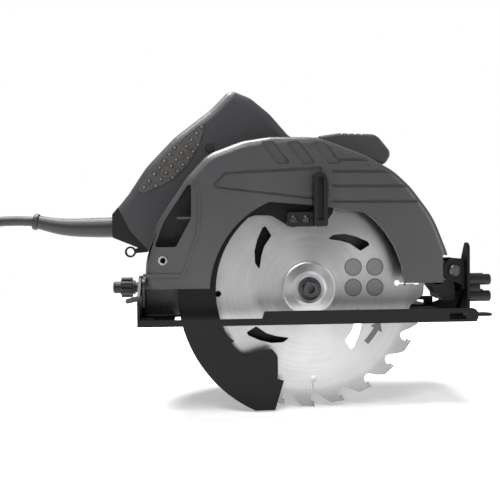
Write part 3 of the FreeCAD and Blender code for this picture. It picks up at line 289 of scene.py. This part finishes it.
def round_metal(name, centre, base, rough, freq, bump, zones=None, marks=(), arrow=None):
    """Metal with concentric turning or grinding lines about a Y axis."""
    n = Nodes(name)
    shift = n.node("ShaderNodeVectorMath", operation="SUBTRACT")
    n.link(n.coord, shift.inputs[0])
    shift.inputs[1].default_value = centre
    parts = n.node("ShaderNodeSeparateXYZ")
    n.link(shift.outputs[0], parts.inputs[0])
    x, z = parts.outputs["X"], parts.outputs["Z"]
    square = n.math("ADD", n.math("MULTIPLY", x, x), n.math("MULTIPLY", z, z))
    r = n.math("SQRT", square)
    angle = n.math("ARCTAN2", z, x)
    ring = n.node("ShaderNodeCombineXYZ")
    n.link(n.math("MULTIPLY", r, freq), ring.inputs["X"])
    n.link(n.math("MULTIPLY", angle, 0.9), ring.inputs["Y"])
    lines = n.noise(1.0, 4.0, 0.65, ring.outputs["Vector"])
    light = tuple(min(1.0, c * 1.1) for c in base)
    dark = tuple(c * 0.86 for c in base)
    tone = n.ramp(lines, [(0.3, dark), (0.7, light)])
    cloud = n.ramp(n.noise(45.0, 5.0), [(0.35, 0.9), (0.65, 1.0)])
    tone = n.mix("MULTIPLY", 1.0, tone, cloud)
    if zones:
        tone = n.mix("MULTIPLY", 1.0, tone, n.ramp(n.math("MULTIPLY", r, 10.0), zones))
    for mx, mz, mr, shade, edge in marks:
        dx = n.math("SUBTRACT", x, mx * MM)
        dz = n.math("SUBTRACT", z, mz * MM)
        d = n.math("ADD", n.math("MULTIPLY", dx, dx), n.math("MULTIPLY", dz, dz))
        outer = n.math("LESS_THAN", d, (mr * MM) ** 2)
        inner = n.math("LESS_THAN", d, (mr * 0.84 * MM) ** 2)
        tone = n.mix("MIX", n.math("MULTIPLY", outer, 0.9), tone, edge)
        tone = n.mix("MIX", n.math("MULTIPLY", inner, 0.9), tone, shade)
    if arrow:
        mid, tail, neck, tip, half, head, shade = arrow
        off = n.math("ABSOLUTE", n.math("SUBTRACT", r, mid * MM))
        rise = head * MM / math.radians(tip - neck)
        room = n.math("MULTIPLY", n.math("SUBTRACT", math.radians(tip), angle), rise)
        point = n.math("LESS_THAN", off, room)
        point = n.math("MULTIPLY", point,
                       n.math("GREATER_THAN", angle, math.radians(neck)))
        shaft = n.math("LESS_THAN", off, half * MM)
        shaft = n.math("MULTIPLY", shaft,
                       n.math("GREATER_THAN", angle, math.radians(tail)))
        shaft = n.math("MULTIPLY", shaft,
                       n.math("LESS_THAN", angle, math.radians(neck + 0.3)))
        both = n.math("MAXIMUM", point, shaft)
        tone = n.mix("MIX", n.math("MULTIPLY", both, 0.9), tone, shade)
    n.link(tone, n.bsdf.inputs["Base Color"])
    n.link(n.ramp(lines, [(0.2, rough - 0.05), (0.8, rough + 0.08)]),
           n.bsdf.inputs["Roughness"])
    n.link(n.bump(lines, bump, 0.0002), n.bsdf.inputs["Normal"])
    n.bsdf.inputs["Metallic"].default_value = 1.0
    n.bsdf.inputs["Anisotropic"].default_value = 0.75
    around = n.node("ShaderNodeTangent")
    around.direction_type = "RADIAL"
    around.axis = "Y"
    n.link(around.outputs["Tangent"], n.bsdf.inputs["Tangent"])
    return n.mat


hub = tuple(arbor)
cast = moulded("cast_paint", (0.050, 0.051, 0.053), 0.34, 1900.0, 0.34, coat=0.2)
shell = moulded("shell_plastic", (0.040, 0.041, 0.044), 0.42, 1500.0, 0.22)
rubber = moulded("grip_rubber", (0.040, 0.039, 0.038), 0.60, 2300.0, 0.35)
pad_rubber = moulded("pad_rubber", (0.070, 0.064, 0.060), 0.50, 2300.0, 0.35,
                     light=(0.17, 0.16, 0.155), pips=0.0068)
black_plastic = moulded("black_plastic", (0.009, 0.009, 0.010), 0.42, 1700.0, 0.2,
                        shine=0.3)
button = moulded("button_plastic", (0.022, 0.022, 0.023), 0.38, 1700.0, 0.15)
black_steel = moulded("black_coat", (0.005, 0.005, 0.006), 0.42, 1200.0, 0.10,
                      light=(0.03, 0.03, 0.032), shine=0.22)
cord_rubber = moulded("cord_rubber", (0.017, 0.017, 0.018), 0.50, 1400.0, 0.22)
alloy = moulded("cast_alloy", (0.50, 0.505, 0.515), 0.42, 900.0, 0.35, metallic=0.9)
steel = machined("steel", (0.56, 0.56, 0.57), 0.28, (900, 60, 900))
dark_steel = machined("dark_steel", (0.10, 0.10, 0.105), 0.38, (500, 90, 500))
core_steel = machined("core_steel", (0.22, 0.21, 0.20), 0.5, (40, 1800, 40))
copper = machined("copper", (0.62, 0.30, 0.14), 0.34, (60, 1500, 60))
brass = machined("brass", (0.70, 0.55, 0.26), 0.32, (500, 90, 500))
carbon = moulded("carbon", (0.03, 0.03, 0.03), 0.6, 1600.0, 0.2)
flange = round_metal("turned_flange", hub, (0.46, 0.46, 0.47), 0.38, 1900.0, 0.05)
DISC_R = 7.2
DISCS = ((36.3, 16.6), (54.0, 16.6), (36.3, 0.2), (54.0, 0.2))
disc, disc_edge, ink = (0.22, 0.22, 0.225), (0.12, 0.12, 0.122), (0.09, 0.09, 0.092)
blade_mat = round_metal(
    "blade_steel", hub, (0.47, 0.47, 0.475), 0.34, 1500.0, 0.07,
    zones=[(0.0, 1.0), (0.80, 1.0), (0.84, 0.80), (0.99, 0.66)],
    marks=[(mx, mz, DISC_R, disc, disc_edge) for mx, mz in DISCS],
    arrow=(64.4, -43.5, -31.5, -25.0, 2.2, 5.6, ink),
)
tips_mat = machined("carbide", (0.34, 0.34, 0.35), 0.3, (400, 400, 400))

FINISH = {
    "cast_grey": cast, "cast_metal": alloy, "shell_grey": shell,
    "rubber_grey": rubber, "black_plastic": black_plastic, "button_plastic": button,
    "black_steel": black_steel, "blade_steel": blade_mat, "carbide": tips_mat,
    "steel": steel, "dark_steel": dark_steel, "core_steel": core_steel,
    "copper": copper, "brass": brass, "carbon": carbon,
    "cord_rubber": cord_rubber,
}
slots = {s["node"]: s["material_slot"] for s in frame["record"]["subparts"]}


def paint(obj, mat):
    obj.data.materials.clear()
    obj.data.materials.append(mat)


HIDDEN = ("cord_tube", "cord_coil")
for name in slots:
    obj = bpy.data.objects.get(name)
    if obj is None or name in HIDDEN:
        continue
    mat = FINISH[slots[name]]
    if name in ("outer_flange", "inner_flange"):
        mat = flange
    if name == "grip_pad":
        mat = pad_rubber
    if len(obj.material_slots):
        for s in obj.material_slots:
            s.material = mat
    else:
        obj.data.materials.append(mat)

paint(cord, cord_rubber)

WIDTHS = {
    "base_plate": 0.5, "base_rim": 0.5, "front_quadrant": 0.35, "rear_quadrant": 0.35,
    "front_bracket": 0.4, "depth_strap": 0.3, "guard_lever": 0.5,
    "lower_guard": 0.35, "blade_bolt": 0.25, "outer_flange": 0.2,
    "front_bumper": 0.5, "fence_post": 0.3, "front_knob": 0.5, "rear_knob": 0.5,
    "depth_lever": 0.4, "cord_collar": 1.0, "key_clip": 0.4, "tilt_rail": 0.4,
    "gear_case": 0.8, "motor_housing": 0.5, "motor_end_cap": 0.5,
    "upper_guard": 0.6, "cord_tie": 0.4, "plug_body": 1.5, "trigger": 0.6,
    "spindle_lock": 0.5, "depth_bolt": 0.5, "cord_sleeve": 0.3, "grip_pad": 0.3,
    "front_grip": 0.4, "front_grip_cap": 0.4, "pivot_pin": 0.3,
}
for name, width in WIDTHS.items():
    obj = bpy.data.objects.get(name)
    if obj is None:
        continue
    bevel = obj.modifiers.new("edge", "BEVEL")
    bevel.width = width * MM
    bevel.segments = 2
    bevel.limit_method = "ANGLE"
    bevel.angle_limit = math.radians(38)
    bevel.use_clamp_overlap = True
    bevel.harden_normals = False

# ---- floor, world and lights ----
FLOOR_R = 1.1
FLOOR_Z = -0.0005
FLOOR_SIDES = 48
mesh = bpy.data.meshes.new("floor")
steps = [2 * math.pi * k / FLOOR_SIDES for k in range(FLOOR_SIDES)]
rim = [(math.cos(a) * FLOOR_R, math.sin(a) * FLOOR_R, FLOOR_Z) for a in steps]
mesh.from_pydata(rim, [], [list(range(FLOOR_SIDES))])
floor = bpy.data.objects.new("floor", mesh)
bpy.context.scene.collection.objects.link(floor)
pale = Nodes("floor_paint")
tone = pale.ramp(pale.noise(3.0, 2.0), [(0.3, (0.93, 0.93, 0.93)), (0.7, (0.96, 0.96, 0.96))])
pale.link(tone, pale.bsdf.inputs["Base Color"])
pale.bsdf.inputs["Roughness"].default_value = 0.9
pale.bsdf.inputs["Emission Color"].default_value = (1, 1, 1, 1)
pale.bsdf.inputs["Emission Strength"].default_value = 0.36
paint(floor, pale.mat)

world = bpy.data.worlds.new("studio")
bpy.context.scene.world = world
world.use_nodes = True
tree = world.node_tree
soft = tree.nodes["Background"]
soft.inputs["Color"].default_value = (1, 1, 1, 1)
soft.inputs["Strength"].default_value = 0.24
bright = tree.nodes.new("ShaderNodeBackground")
bright.inputs["Color"].default_value = (1, 1, 1, 1)
bright.inputs["Strength"].default_value = 1.0
seen = tree.nodes.new("ShaderNodeLightPath")
choose = tree.nodes.new("ShaderNodeMixShader")
tree.links.new(seen.outputs["Is Camera Ray"], choose.inputs[0])
tree.links.new(soft.outputs[0], choose.inputs[1])
tree.links.new(bright.outputs[0], choose.inputs[2])
tree.links.new(choose.outputs[0], tree.nodes["World Output"].inputs["Surface"])


def area(name, place, aim, size, power):
    light = bpy.data.lights.new(name, "AREA")
    light.shape = "RECTANGLE"
    light.size, light.size_y = size
    light.energy = power
    obj = bpy.data.objects.new(name, light)
    bpy.context.scene.collection.objects.link(obj)
    obj.location = place
    obj.rotation_euler = (Vector(aim) - Vector(place)).to_track_quat("-Z", "Y").to_euler()


area("key", (-0.4, -1.0, 1.5), (0, 0, 0.12), (0.9, 0.6), 17)
area("top", (-0.3, 0.3, 1.3), (0, 0, 0.1), (0.9, 0.6), 34)
area("side", (1.2, -0.7, 0.5), (0, 0, 0.1), (0.5, 1.0), 5)
bpy.context.scene.view_settings.view_transform = "Standard"

bpy.context.view_layer.update()
